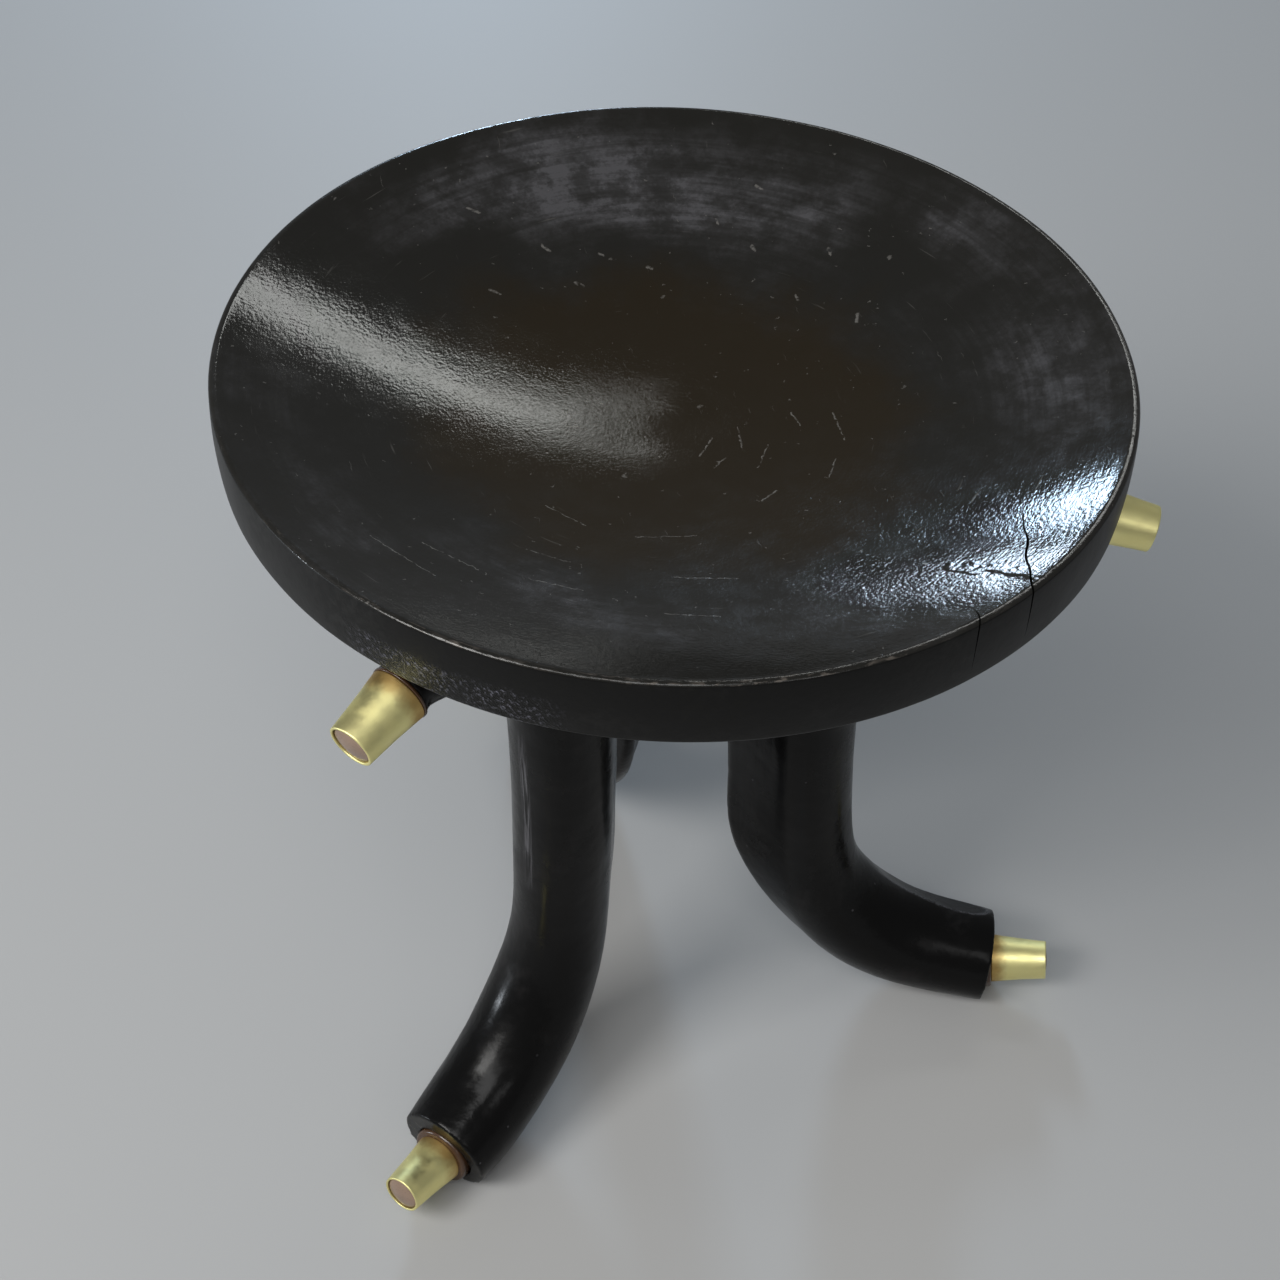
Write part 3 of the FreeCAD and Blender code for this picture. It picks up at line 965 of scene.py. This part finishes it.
def unrolled(
    name: str, profile: Profile, angles: Sequence[float], marks: dict[str, Sequence[float]]
) -> bpy.types.Object:
    """A blank for the lathe.

    Args:
        name: Name of the object.
        profile: Half section, as radius and height, from the start of the cut to its end.
        angles: Angles of the columns, from 0 to a full turn.
        marks: Numbers to keep at each point of the half section, by name.

    Returns:
        A sheet whose points hold radius, angle and height.
    """
    rows, columns = len(profile), len(angles)
    points = [(r, a, z) for r, z in profile for a in angles]
    faces = [
        (row * columns + c, row * columns + c + 1, (row + 1) * columns + c + 1, (row + 1) * columns + c)
        for row in range(rows - 1)
        for c in range(columns - 1)
    ]
    mesh = bpy.data.meshes.new(name)
    mesh.from_pydata(points, [], faces)
    for label, numbers in marks.items():
        mark(mesh, label, np.repeat(numbers, columns))
    return placed(name, mesh)


def full_turn(columns: int) -> list[float]:
    """Evenly spaced angles of a full turn, both ends included."""
    return [2 * math.pi * column / columns for column in range(columns + 1)]


def fasten(piece: bpy.types.Object, node: str) -> None:
    """Let a finished piece stand for a node of the frame.

    Args:
        piece: The finished piece.
        node: The node that it replaces.
    """
    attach(piece, ROOT)
    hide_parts(node)
    LOG.info("%s: %d faces, stands for %s", piece.name, len(piece.data.polygons), node)


# How worn each point of the lip's two roundings is, from the band to the dish.
LIP_WEAR = (0.0, 0.1, 0.3, 0.6, 0.9, 1.0, 1.0, 0.9, 0.8, 0.7, 0.5, 0.3, 0.2, 0.1, 0.0)

# How much a face belongs to the dish before it takes the dish's finish.
DISH_SHARE = 0.25


@dataclass
class Seat:
    """The dished seat with its upright band, thin lip and drying cracks."""

    bench: Bench
    radius: float = 190.0 * MM
    top: float = 407.0 * MM
    band: float = 30.0 * MM
    bulge: float = 0.8 * MM
    lip: float = 2.6 * MM
    depth: float = 42.0 * MM
    wall: float = 25.0 * MM
    lip_round: float = 1.7 * MM
    lip_ease: float = 3.0 * MM
    band_round: float = 2.0 * MM
    tilt: float = -0.0116
    columns: int = 400
    under_steps: int = 28
    side_steps: int = 18
    bowl_steps: int = 120
    heel_steps: int = 5
    crest_steps: int = 9
    ease_steps: int = 4
    dull_points: int = 4
    sharp_edge: float = 50.0
    crack_steps: int = 44
    blade_past: float = 4.0 * MM
    blade_rise: float = 6.0 * MM
    rim_zone: float = 6.0 * MM
    band_split: float = 0.86

    def build(self) -> bpy.types.Object:
        """Turn, shave, crack and dress the seat.

        Returns:
            The finished piece.
        """
        profile, dish, lip = self.section()
        piece = unrolled("seat_dish", profile, full_turn(self.columns), {"dish": dish, "lip": lip})
        cuts = SEAT_CUTS.inputs((3.1, 0.4, 1.7), DishFinish().material())
        self.bench.lathe.work(piece, {**cuts, "Tilt": self.tilt})
        face_outwards(piece)
        self.paint_band(piece.data)
        for crack in CRACKS:
            self.split(piece, crack)
        piece.data.set_sharp_from_angle(angle=math.radians(self.sharp_edge))
        fasten(piece, "seat")
        return piece

    def paint_band(self, mesh: bpy.types.Mesh) -> None:
        """Give the faces outside the dish and the lip the band's finish.

        Args:
            mesh: The seat.
        """
        mesh.materials.append(BandFinish().material())
        dish = np.zeros(len(mesh.vertices), np.float32)
        mesh.attributes["dish"].data.foreach_get("value", dish)
        index = [int(max(dish[v] for v in face.vertices) < DISH_SHARE) for face in mesh.polygons]
        mesh.polygons.foreach_set("material_index", index)

    def cap(self, radius: float, edge: float, rise: float) -> float:
        """Height of a shallow round cap over its lowest point, at a radius."""
        ball = (edge**2 + rise**2) / (2 * rise)
        return ball - math.sqrt(ball**2 - radius**2)

    def section(self) -> tuple[Profile, list[float], list[float]]:
        """The half section, from the middle of the underside over the rim to the middle of the dish.

        Returns:
            The points, and for each point how much it belongs to the dish and to the worn lip.
        """
        edge = self.radius - self.bulge
        foot = self.top - self.band
        floor = self.top - self.depth
        bottom = floor - self.wall
        inner = edge - self.lip
        below = []
        for step in range(self.under_steps):
            r = edge * step / self.under_steps
            below.append((r, bottom + self.cap(r, edge, foot - bottom)))
        side = []
        for step in range(1, self.side_steps):
            share = step / self.side_steps
            swell = self.bulge * (1 - (2 * share - 1) ** 2)
            side.append((edge + swell, foot + self.band * share))
        bowl = []
        for step in range(1, self.bowl_steps + 1):
            r = inner * (1 - step / self.bowl_steps)
            bowl.append((r, floor + self.cap(r, inner, self.depth)))
        low = Vector((edge, foot))
        outer = Vector((edge, self.top))
        inside = Vector((inner, self.top))
        heel = rounded(Vector(below[-1]), low, Vector(side[1]), self.band_round, self.heel_steps)
        crest = rounded(Vector(side[-2]), outer, inside, self.lip_round, self.crest_steps)
        crest += rounded(outer, inside, Vector(bowl[1]), self.lip_ease, self.ease_steps)
        profile = below + heel + side[1:-1] + crest + bowl[1:]
        rim = len(below) + len(heel) + len(side) - 2
        dish = [0.0] * (rim + self.dull_points) + [0.5] * (len(crest) - self.dull_points)
        dish += [1.0] * (len(bowl) - 1)
        worn = [0.0] * rim + list(LIP_WEAR)
        worn += [0.0] * (len(profile) - len(worn))
        return profile, dish, worn

    def surface(self, x: float, y: float) -> float:
        """Height of the tilted dish at a place, or of the lip outside it.

        Args:
            x: First coordinate of the place.
            y: Second coordinate of the place.

        Returns:
            The height over the floor.
        """
        inner = self.radius - self.bulge - self.lip
        radius = math.hypot(x, y)
        low, high = TILT_RAMP
        share = min(1.0, max(0.0, (radius - low) / (high - low)))
        lean = self.tilt * x * share * share * (3 - 2 * share)
        return self.top - self.depth + self.cap(min(radius, inner), inner, self.depth) + lean

    def split(self, piece: bpy.types.Object, crack: Crack) -> None:
        """Open a crack in the seat.

        Args:
            piece: The seat.
            crack: Where it runs and how wide and deep it is.
        """
        blade = self.blade(crack)
        cut = piece.modifiers.new("crack", "BOOLEAN")
        cut.operation = "DIFFERENCE"
        cut.solver = "EXACT"
        cut.object = blade
        settle(piece)
        bpy.data.objects.remove(blade)

    def blade(self, crack: Crack) -> bpy.types.Object:
        """A thin wandering wedge in the shape of a crack's void.

        Args:
            crack: The crack.

        Returns:
            The wedge, which reaches past the lip and the band.
        """
        end_y = -math.sqrt(self.radius**2 - crack.x**2) - self.blade_past
        high = self.top + self.blade_rise
        builder = bmesh.new()
        rings = []
        for step in range(self.crack_steps + 1):
            share = step / self.crack_steps
            y = crack.start_y + (end_y - crack.start_y) * share
            x = crack.path(y)
            half = crack.width / 2 * min(1.0, 0.15 + 3 * share)
            surface = self.surface(x, y)
            deep = surface - crack.depth * min(1.0, 0.2 + 2.5 * share)
            if math.hypot(x, y) > self.radius - self.rim_zone:
                deep = self.top - self.band * self.band_split
            left, right = x - half, x + half
            section = ((x, deep), (right, surface), (right, high), (left, high), (left, surface))
            rings.append([builder.verts.new((across, y, z)) for across, z in section])
        for one, two in zip(rings, rings[1:]):
            for i in range(len(one)):
                after = (i + 1) % len(one)
                builder.faces.new((one[i], one[after], two[after], two[i]))
        builder.faces.new(rings[0])
        builder.faces.new(reversed(rings[-1]))
        bmesh.ops.recalc_face_normals(builder, faces=builder.faces)
        mesh = bpy.data.meshes.new("crack_blade")
        builder.to_mesh(mesh)
        builder.free()
        blade = placed("crack_blade", mesh)
        blade.hide_render = True
        return blade


def rework(piece: bpy.types.Object, work: Callable[[bmesh.types.BMesh], object]) -> None:
    """Change a piece's mesh in its place.

    Args:
        piece: The piece.
        work: What is done to its mesh.
    """
    builder = bmesh.new()
    builder.from_mesh(piece.data)
    work(builder)
    builder.to_mesh(piece.data)
    builder.free()


def face_outwards(piece: bpy.types.Object) -> None:
    """Turn every face of a closed piece outwards."""
    rework(piece, lambda builder: bmesh.ops.recalc_face_normals(builder, faces=builder.faces))


def merge(piece: bpy.types.Object) -> None:
    """Join the loose triangles of a copied solid."""
    rework(piece, lambda builder: bmesh.ops.remove_doubles(builder, verts=builder.verts, dist=DOUBLE_GAP))


def points_of(mesh: bpy.types.Mesh) -> np.ndarray:
    """Read the points of a mesh.

    Args:
        mesh: The mesh.

    Returns:
        The points, one row each.
    """
    points = np.empty(len(mesh.vertices) * 3)
    mesh.vertices.foreach_get("co", points)
    return points.reshape(-1, 3)


def move_points(mesh: bpy.types.Mesh, points: np.ndarray) -> None:
    """Put the points of a mesh in new places, one row each."""
    mesh.vertices.foreach_set("co", points.ravel())
    mesh.update()


@dataclass(frozen=True)
class Flat:
    """A narrow flat that the rasp left along the top of a foot, with a painted highlight along its edges."""

    start: tuple[float, float, float]
    end: tuple[float, float, float]
    lean: float
    depth: float
    wear: float
    pitch: float = 3.0 * MM
    run_in: float = 15.0 * MM
    highlight_edge: float = 0.25 * MM

    def cut(self, mesh: bpy.types.Mesh) -> np.ndarray:
        """Press the limb's points that stand above the flat down onto it.

        Args:
            mesh: The limb, whose outermost points between start and end are pressed down.

        Returns:
            How strongly each point carries the painted highlight along the flat's edges.
        """
        first, last = Vector(self.start), Vector(self.end)
        run = (last - first).normalized()
        side = run.cross(Vector((0, 0, 1))).normalized()
        lean = math.radians(self.lean)
        normal = np.array(side.cross(run) * math.cos(lean) + side * math.sin(lean))
        points = points_of(mesh)
        along = (points - np.array(first)) @ np.array(run)
        near = (along > 0) & (along < (last - first).length)
        height = points @ normal
        bins = (along[near] / self.pitch).astype(int)
        tops = np.full(bins.max() + 1, -1.0)
        np.maximum.at(tops, bins, height[near])
        middles = (np.arange(len(tops)) + 0.5) * self.pitch
        crest = np.polyval(np.polyfit(middles, tops, 2), along)
        over = height - (crest - self.depth)
        ease = np.clip(along / self.run_in, 0, 1)
        points -= (np.clip(over, 0, None) * ease)[:, None] * normal
        move_points(mesh, points)
        return np.clip(1.5 - np.abs(over) / self.highlight_edge, 0, 1) * ease * self.wear


@dataclass(frozen=True)
class HighlightStreak:
    """A painted highlight: a pale streak along a limb where a lamp's reflection falls."""

    start: tuple[float, float, float]
    end: tuple[float, float, float]
    width: float
    wear: float

    def cut(self, mesh: bpy.types.Mesh) -> np.ndarray:
        """Find the streak on a limb.

        Args:
            mesh: The limb, which stays as it is.

        Returns:
            How strongly each point carries the painted highlight.
        """
        points = points_of(mesh)
        first, last = np.array(self.start), np.array(self.end)
        run = last - first
        share = np.clip((points - first) @ run / (run @ run), 0, 1)
        gap = np.linalg.norm(points - first - share[:, None] * run, axis=1)
        across = np.clip(1.6 * (1 - gap / self.width), 0, 1)
        ends = np.clip(6 * share * (1 - share), 0, 1)
        return across * ends * self.wear


# The flat on the right foot, whose edges carry a painted highlight, and a painted highlight streak on the
# left leg.
FLATS_AND_HIGHLIGHTS = {
    "right": (Flat((0.112, 0.0, 0.075), (0.176, 0.0, 0.048), -34.0, 1.3 * MM, 1.0),),
    "back": (),
    "left": (HighlightStreak((-0.0520, -0.0892, 0.262), (-0.0503, -0.0912, 0.150), 3.2 * MM, 0.85),),
}


@dataclass
class Leg:
    """One bowed leg, shaved smooth by hand."""

    bench: Bench
    name: str
    finish: bpy.types.Material
    grain: float = 1.1 * MM
    passes: int = 2

    def build(self, solid_leg: bpy.types.Object) -> bpy.types.Object:
        """Shave and dress the leg.

        Args:
            solid_leg: The frame's leg, which gives the shape.

        Returns:
            The finished piece.
        """
        piece = placed("limb_" + self.name, solid_leg.data.copy())
        piece.data.materials.clear()
        merge(piece)
        remesh = piece.modifiers.new("even_faces", "REMESH")
        remesh.mode = "VOXEL"
        remesh.voxel_size = self.grain
        smooth = piece.modifiers.new("scraper", "SMOOTH")
        smooth.factor = 0.5
        smooth.iterations = self.passes
        settle(piece)
        # Painted highlights on the limb, from its flat's edges and its streak, kept at each point.
        painted_highlight = np.zeros(len(piece.data.vertices))
        for wear in FLATS_AND_HIGHLIGHTS[self.name]:
            painted_highlight = np.maximum(painted_highlight, wear.cut(piece.data))
        mark(piece.data, "painted_highlight", painted_highlight)
        self.bench.shave.work(piece, LEG_CUTS.inputs((len(self.name) * 0.7, 0.3, 0.9), self.finish))
        points = points_of(piece.data)
        points[:, 2] = np.maximum(points[:, 2], 0.0)
        move_points(piece.data, points)
        fasten(piece, "leg_" + self.name)
        return piece


class End(Enum):
    """The two ends of a leg, with the angle in degrees at which each peg points above the horizon."""

    FOOT = 8.0
    SPUR = -10.0

    @property
    def label(self) -> str:
        """The end's part of a node's name."""
        return self.name.lower()


# Radius of the collar at each end of a leg, and the rounding of its edge.
COLLARS = {End.FOOT: mm(15.5, 1.8), End.SPUR: mm(13.0, 0.4)}


@dataclass
class Tip:
    """A turned peg in one end of a leg, with the brass ferrule that it wears."""

    bench: Bench
    leg: str
    end: End
    turn: float
    wood: bpy.types.Material
    brass: bpy.types.Material
    base: float = 12.7 * MM
    mouth: float = 10.0 * MM
    length: float = 28.6 * MM
    wall: float = 1.2 * MM
    waist: float = 0.25 * MM
    shank: float = 8.0 * MM
    shank_length: float = 32.0 * MM
    setback: float = 0.3 * MM
    recess: float = 1.0 * MM
    crown: float = 1.7 * MM
    gap: float = 0.1 * MM
    rolled: float = 0.5 * MM
    bore_round: float = 0.4 * MM
    end_ease: float = 0.4 * MM
    columns: int = 96
    cone_steps: int = 26
    rolled_steps: int = 5
    bore_steps: int = 4
    collar_steps: int = 8
    dome_steps: int = 12

    def build(self, nodes: dict[str, bpy.types.Object]) -> list[bpy.types.Object]:
        """Turn, place and dress the peg and the ferrule.

        Args:
            nodes: The frame's nodes by name.

        Returns:
            The two pieces.
        """
        peg_node = "%s_peg_%s" % (self.end.label, self.leg)
        ferrule_node = "%s_ferrule_%s" % (self.end.label, self.leg)
        peg_place, span = self.stand(nodes[peg_node])
        ferrule_place, _ = self.stand(nodes[ferrule_node])
        collar = span - self.shank_length - self.length + self.setback
        peg_place = peg_place @ Matrix.Translation((0, 0, self.shank_length))
        peg = self.turned("peg_%s_%s" % (self.end.label, self.leg), *self.peg(collar), self.wood)
        ferrule = self.turned("brass_%s_%s" % (self.end.label, self.leg), *self.ferrule(), self.brass)
        for piece, place, node, slot in (
            (peg, peg_place, peg_node, "peg_wood"),
            (ferrule, ferrule_place, ferrule_node, "brass"),
        ):
            piece.data.transform(place)
            face_outwards(piece)
            fasten(piece, node)
        return [peg, ferrule]

    def stand(self, node: bpy.types.Object) -> tuple[Matrix, float]:
        """Where a turned node stands.

        Args:
            node: A node that is round about this tip's axis.

        Returns:
            The place of the middle of its inner end, with Z along the axis, and its length.
        """
        spin = direction(self.turn, self.end.value).to_track_quat("Z", "Y").to_matrix()
        local = np.array([v.co for v in node.data.vertices]) @ np.array(spin)
        low, high = local.min(0), local.max(0)
        middle = (low + high) / 2
        start = spin @ Vector((middle[0], middle[1], low[2]))
        return Matrix.Translation(start) @ spin.to_4x4(), float(high[2] - low[2])

    def turned(
        self, name: str, profile: Profile, along: list[float], finish: bpy.types.Material
    ) -> bpy.types.Object:
        """A piece off the lathe.

        Args:
            name: Its name.
            profile: Its half section.
            along: How far along the tip each point of the section is, from 0 to 1.
            finish: Its material.

        Returns:
            The piece, standing on the origin.
        """
        piece = unrolled(name, profile, full_turn(self.columns), {"along": along})
        cuts = TIP_CUTS.inputs((self.turn, self.end.value, 0.5), finish)
        self.bench.lathe.work(piece, {**cuts, "Tilt": 0.0})
        return piece

    def ferrule(self) -> tuple[Profile, list[float]]:
        """Half section of the ferrule, all round its wall, with a soft rolled mouth.

        Returns:
            The points and how far along the ferrule each of them is.
        """
        bore = []
        skin = []
        for step in range(self.cone_steps + 1):
            share = step / self.cone_steps
            r = self.base + (self.mouth - self.base) * share - self.waist * math.sin(math.pi * share)
            skin.append((r, self.length * share))
            bore.append((r - self.wall, self.length * share))
        outer_end, inner_end = Vector(skin[-1]), Vector(bore[-1])
        crest = rounded(Vector(skin[-2]), outer_end, inner_end, self.rolled, self.rolled_steps)
        crest += rounded(outer_end, inner_end, Vector(bore[-2]), self.bore_round, self.bore_steps)
        outer_start, inner_start = Vector(skin[0]), Vector(bore[0])
        heel = rounded(inner_start, outer_start, Vector(skin[1]), self.rolled, self.rolled_steps)
        start = [tuple(inner_start)]
        profile = start + heel + skin[1:-1] + crest + bore[-2:0:-1] + start
        return profile, [z / self.length for _, z in profile]

    def peg(self, collar: float) -> tuple[Profile, list[float]]:
        """Half section of the peg: shank, collar, cone and domed end.

        Args:
            collar: Height of the collar.

        Returns:
            The points and how far along the peg each of them is.
        """
        wide, ease = COLLARS[self.end]
        inside = self.base - self.wall - self.gap - self.waist
        taper = (self.base - self.mouth) / self.length
        tip = collar + self.length - self.recess
        narrow = inside - taper * (self.length - self.recess)
        bottom = -self.shank_length
        profile = [(0.0, bottom), (self.shank, bottom), (self.shank, 0.0), (wide, 0.0)]
        shoulder = Vector((wide, collar))
        profile += rounded(Vector((wide, 0.0)), shoulder, Vector((inside, collar)), ease, self.collar_steps)
        profile += [(inside, collar), (narrow, tip - self.end_ease)]
        for step in range(self.dome_steps + 1):
            share = step / self.dome_steps
            profile.append((narrow * (1 - share), tip + self.crown * (1 - (1 - share) ** 2)))
        reach = tip + self.crown
        return profile, [max(0.0, z / reach) for _, z in profile]


@dataclass
class Lamp:
    """A soft box that hangs round the stool and faces it."""

    name: str
    turn: float
    lift: float
    distance: float
    width: float
    height: float
    power: float
    colour: Colour = (1.0, 1.0, 1.0)
    spread: float = 180.0

    def hang(self, target: Vector) -> None:
        """Add the lamp.

        Args:
            target: The point that it faces.
        """
        out = direction(self.turn, self.lift)
        light = bpy.data.lights.new(self.name, "AREA")
        light.shape = "RECTANGLE"
        light.size = self.width
        light.size_y = self.height
        light.energy = self.power
        light.color = self.colour
        light.spread = math.radians(self.spread)
        spin = out.to_track_quat("Z", "Y").to_matrix().to_4x4()
        lamp = placed(self.name, light)
        lamp.matrix_world = Matrix.Translation(target + out * self.distance) @ spin


# Degrees round the stool and above the horizon, then distance, width and height, then watts.
LAMPS = (
    Lamp("key", 223, 42, 2.3, 0.95, 0.95, 38.0, (1.0, 0.99, 0.97)),
    Lamp("front", 267, 55, 2.3, 1.3, 0.9, 18.0),
    Lamp("right_front", 308, 29, 2.4, 0.3, 0.8, 2.0),
    Lamp("side", 195, -3.5, 2.3, 0.22, 0.24, 1.0, (0.86, 0.93, 1.0), 50.0),
    Lamp("strip", 81.0, 39.8, 2.6, 0.86, 0.19, 3.9, (0.98, 1.0, 0.97)),
    Lamp("right_pane", 106.2, 17.0, 2.6, 0.29, 0.40, 20.0, (0.60, 0.79, 1.0)),
    Lamp("left_pane", 100.7, 10.7, 2.6, 0.12, 0.30, 3.6, (0.68, 0.83, 1.0)),
)


@dataclass
class Studio:
    """Camera, floor and soft light round the stool."""

    eye: Vector = Vector((0.0701, -0.6577, 0.9095))
    target: Vector = Vector((-0.0069, -0.0394, 0.2749))
    roll: float = 1.4
    lens: float = 56.25
    sensor: float = 36.0
    ambient: Colour = (0.20, 0.203, 0.206)
    floor_half: float = 6.0
    clip_start: float = 20.0 * MM
    lit: Vector = Vector((0.0, 0.0, 0.38))

    def build(self) -> None:
        """Set up everything round the stool."""
        self.camera()
        self.floor()
        self.light()
        bpy.context.scene.view_settings.view_transform = "Standard"

    def camera(self) -> None:
        """The camera at the photograph's place, with its small roll."""
        back = (self.eye - self.target).normalized()
        right = Vector((0, 0, 1)).cross(back).normalized()
        up = back.cross(right)
        roll = math.radians(self.roll)
        side = right * math.cos(roll) + up * math.sin(roll)
        top = up * math.cos(roll) - right * math.sin(roll)
        data = bpy.data.cameras.new("camera")
        data.lens = self.lens
        data.sensor_width = self.sensor
        data.clip_start = self.clip_start
        view = placed("camera", data)
        view.matrix_world = Matrix.Translation(self.eye) @ Matrix((side, top, back)).transposed().to_4x4()
        bpy.context.scene.camera = view

    def floor(self) -> None:
        """A wide plain floor."""
        half = self.floor_half
        points = [(-half, -half, 0), (half, -half, 0), (half, half, 0), (-half, half, 0)]
        mesh = bpy.data.meshes.new("floor")
        mesh.from_pydata(points, [], [(0, 1, 2, 3)])
        mesh.materials.append(FloorFinish().material())
        placed("floor", mesh)

    def light(self) -> None:
        """Even light from all round, boxes from the front and a low side, and three that the dish mirrors."""
        world = bpy.data.worlds.new("studio")
        world.use_nodes = True
        world.node_tree.nodes["Background"].inputs["Color"].default_value = solid(self.ambient)
        bpy.context.scene.world = world
        for lamp in LAMPS:
            lamp.hang(self.lit)


# Degrees of each leg's foot round the seat, and of its spur from there.
LEG_TURNS = {"right": (0.0, -2.7), "back": (120.0, 0.0), "left": (242.3, -0.6)}


def clear_scene() -> None:
    """Remove what a new file starts with."""
    for thing in list(bpy.data.objects):
        bpy.data.objects.remove(thing)


def main() -> None:
    """Load the frame, build every piece round it, and light it."""
    logging.basicConfig(level=logging.INFO, format="%(name)s %(message)s")
    clear_scene()
    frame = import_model()
    nodes = frame["nodes"]
    bench = Bench(Lathe(), Spokeshave())
    Seat(bench).build()
    lacquer = LegFinish().material()
    wood, brass = PegFinish().material(), BrassFinish().material()
    for name, (turn, skew) in LEG_TURNS.items():
        Leg(bench, name, lacquer).build(nodes["leg_" + name])
        Tip(bench, name, End.FOOT, turn, wood, brass).build(nodes)
        Tip(bench, name, End.SPUR, turn + skew, wood, brass).build(nodes)
    Studio().build()


if __name__ == "__main__":
    main()
